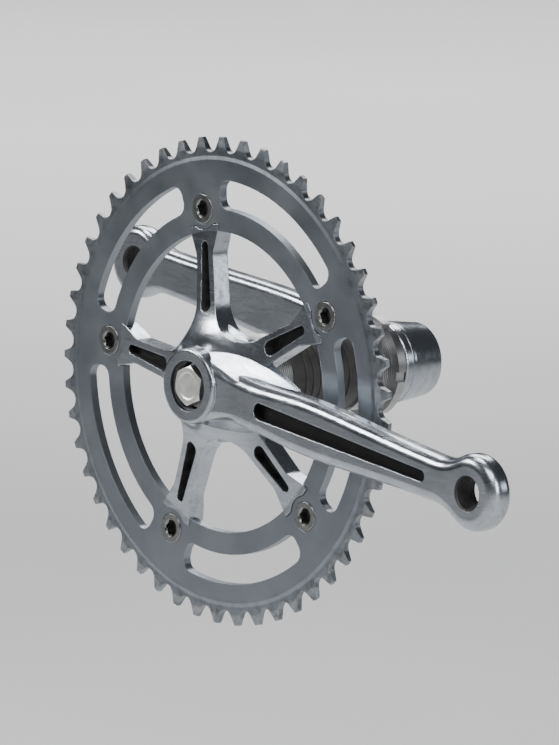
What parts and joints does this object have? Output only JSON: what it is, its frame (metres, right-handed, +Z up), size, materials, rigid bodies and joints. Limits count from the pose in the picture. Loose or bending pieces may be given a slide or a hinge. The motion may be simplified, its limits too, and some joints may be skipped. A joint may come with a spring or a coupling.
{
  "type": "bicycle crankset",
  "caption": "Track-bicycle crankset: five-arm right crank with toothed chainring, left crank, square-taper spindle and cup-and-ball bottom bracket that lets them turn.",
  "frame": {"origin": "on the spindle axis, in the bicycle's centre plane: the centre of the frame's bottom-bracket shell", "axes": "+Y along the spindle towards the left crank, +X the bicycle's forward direction, +Z up; the chainring is on the -Y side"},
  "size_m": [0.3776, 0.1345, 0.2027],
  "materials": {
    "polished_alloy": "polished forged alloy with light wear",
    "anodised_alloy": "satin grey anodised",
    "plated_steel": "bright plated",
    "dulled_steel": "plating gone dull, oily in the sockets",
    "cup_steel": "turned and plated",
    "bearing_steel": "ground and hardened",
    "ball_steel": "mirror polished",
    "retainer_steel": "pressed sheet",
    "groove_paint": "black enamel in the cranks' grooves, a little chipped",
    "sleeve_plastic": "moulded, matte"
  },
  "bodies": {
    "bottom_bracket": {"fixed_cup": "cup_steel", "adjustable_cup": "cup_steel", "lockring": "cup_steel", "dust_sleeve": "sleeve_plastic"},
    "crankset": {"spindle": "bearing_steel", "right_crank": "polished_alloy", "left_crank": "polished_alloy", "chainring": "anodised_alloy", "right_crank_bolt": "plated_steel", "left_crank_bolt": "plated_steel", "right_crank_washer": "plated_steel", "left_crank_washer": "plated_steel", "chainring_bolt_1": "dulled_steel", "chainring_bolt_2": "dulled_steel", "chainring_bolt_3": "dulled_steel", "chainring_bolt_4": "dulled_steel", "chainring_bolt_5": "dulled_steel", "chainring_nut_1": "dulled_steel", "chainring_nut_2": "dulled_steel", "chainring_nut_3": "dulled_steel", "chainring_nut_4": "dulled_steel", "chainring_nut_5": "dulled_steel"},
    "right_ball_set": {"right_balls": "ball_steel", "right_ball_retainer": "retainer_steel"},
    "left_ball_set": {"left_balls": "ball_steel", "left_ball_retainer": "retainer_steel"}
  },
  "joints": [
    {"name": "crank_spin", "type": "hinge", "parent": "bottom_bracket", "child": "crankset", "pos_m": [0, 0, 0], "axis": [0, 1, 0], "continuous": true},
    {"name": "right_balls_roll", "type": "hinge", "parent": "bottom_bracket", "child": "right_ball_set", "pos_m": [0, -0.0285, 0], "axis": [0, 1, 0], "continuous": true},
    {"name": "left_balls_roll", "type": "hinge", "parent": "bottom_bracket", "child": "left_ball_set", "pos_m": [0, 0.0285, 0], "axis": [0, 1, 0], "continuous": true}
  ],
  "couplings": [
    {"joint": "right_balls_roll", "follows": "crank_spin", "ratio": 0.4032},
    {"joint": "left_balls_roll", "follows": "crank_spin", "ratio": 0.4032}
  ]
}
